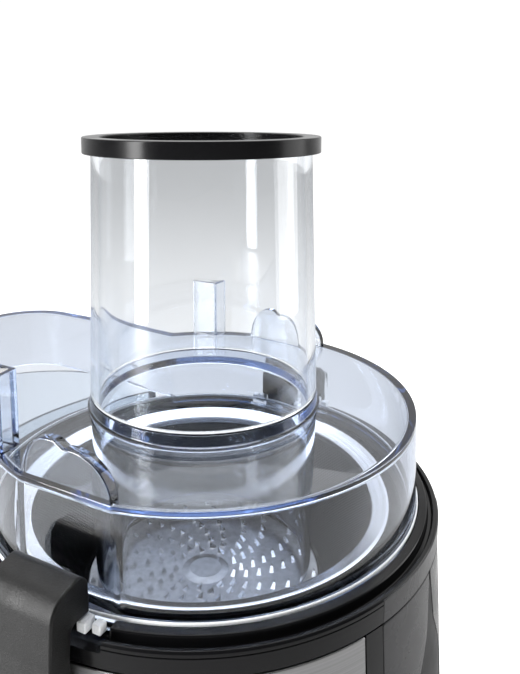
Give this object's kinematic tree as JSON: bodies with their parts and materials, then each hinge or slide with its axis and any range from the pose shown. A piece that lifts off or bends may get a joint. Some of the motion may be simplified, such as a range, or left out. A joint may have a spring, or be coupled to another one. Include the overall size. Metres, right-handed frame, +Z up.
{
  "type": "centrifugal juicer",
  "caption": "Countertop centrifugal juicer: round black and steel motor base, clear lid with wide feed tube, side clamps, spinning steel basket and rear pulp bin.",
  "frame": {"origin": "middle of the footprint's box, on the surface the juicer stands on", "axes": "+Z up; -Y to the front with the spout and the knob; +Y to the back with the pulp bin; X across the two clamps"},
  "size_m": [0.202, 0.276, 0.3194],
  "materials": {
    "black_gloss": "glossy black moulded plastic",
    "charcoal_gloss": "glossy charcoal plastic",
    "black_soft": "fine grained matte black plastic",
    "brushed_steel": "brushed stainless sheet",
    "bright_steel": "bright stainless steel",
    "clear_plastic": "clear moulded plastic, faintly blue at its edges",
    "smoky_plastic": "blue-grey see-through plastic",
    "white_plastic": "white nylon",
    "rubber": "black rubber",
    "motor_steel": "laminated motor steel",
    "copper_wire": "lacquered copper winding",
    "circuit_board": "green circuit board"
  },
  "bodies": {
    "base": {"base_housing": "black_gloss", "collar_ring": "black_gloss", "front_spine": "black_gloss", "tube_rim_ring": "black_gloss", "front_panel_left": "charcoal_gloss", "front_panel_right": "charcoal_gloss", "side_panel_left": "brushed_steel", "side_panel_right": "brushed_steel", "base_plate": "black_soft", "clamp_bracket_left": "black_soft", "clamp_bracket_right": "black_soft", "foot_front_left": "rubber", "foot_front_right": "rubber", "foot_back_left": "rubber", "foot_back_right": "rubber", "motor_damper_front_left": "rubber", "motor_damper_front_right": "rubber", "motor_damper_back_left": "rubber", "motor_damper_back_right": "rubber", "shaft_seal": "rubber", "cord_gland": "rubber", "hinge_pin_left": "bright_steel", "hinge_pin_right": "bright_steel", "knob_bezel": "bright_steel", "bearing_upper": "bright_steel", "bearing_lower": "bright_steel", "motor_bolt_left": "bright_steel", "motor_bolt_right": "bright_steel", "lid": "clear_plastic", "feed_tube": "clear_plastic", "juice_bowl": "smoky_plastic", "spout": "smoky_plastic", "power_switch": "white_plastic", "circuit_board": "circuit_board", "field_core": "motor_steel", "motor_bracket": "motor_steel", "lower_bracket": "motor_steel", "field_coil_upper": "copper_wire", "field_coil_lower": "copper_wire"},
    "spinner": {"filter_basket": "bright_steel", "grater_disc": "bright_steel", "basket_hub": "black_soft", "drive_coupling": "white_plastic", "motor_shaft": "bright_steel", "rotor_core": "motor_steel", "commutator": "copper_wire", "cooling_fan": "white_plastic"},
    "clamp_left": {"clamp_left": "black_soft"},
    "clamp_right": {"clamp_right": "black_soft"},
    "knob": {"control_knob": "black_soft", "knob_shaft": "bright_steel"},
    "pulp_bin": {"pulp_container": "smoky_plastic"}
  },
  "joints": [
    {"name": "basket_spin", "type": "hinge", "parent": "base", "child": "spinner", "pos_m": [0, -0.024, 0.1], "axis": [0, 0, 1], "continuous": true},
    {"name": "clamp_left_swing", "type": "hinge", "parent": "base", "child": "clamp_left", "pos_m": [-0.0955, -0.024, 0.128], "axis": [0, -1, 0], "range_deg": [0, 95]},
    {"name": "clamp_right_swing", "type": "hinge", "parent": "base", "child": "clamp_right", "pos_m": [0.0955, -0.024, 0.128], "axis": [0, 1, 0], "range_deg": [0, 95]},
    {"name": "knob_turn", "type": "hinge", "parent": "base", "child": "knob", "pos_m": [0, -0.124, 0.056], "axis": [0, -1, 0], "range_deg": [-60, 60]},
    {"name": "bin_slide", "type": "slide", "parent": "base", "child": "pulp_bin", "axis": [0, 1, 0], "range_m": [0, 0.12]}
  ]
}
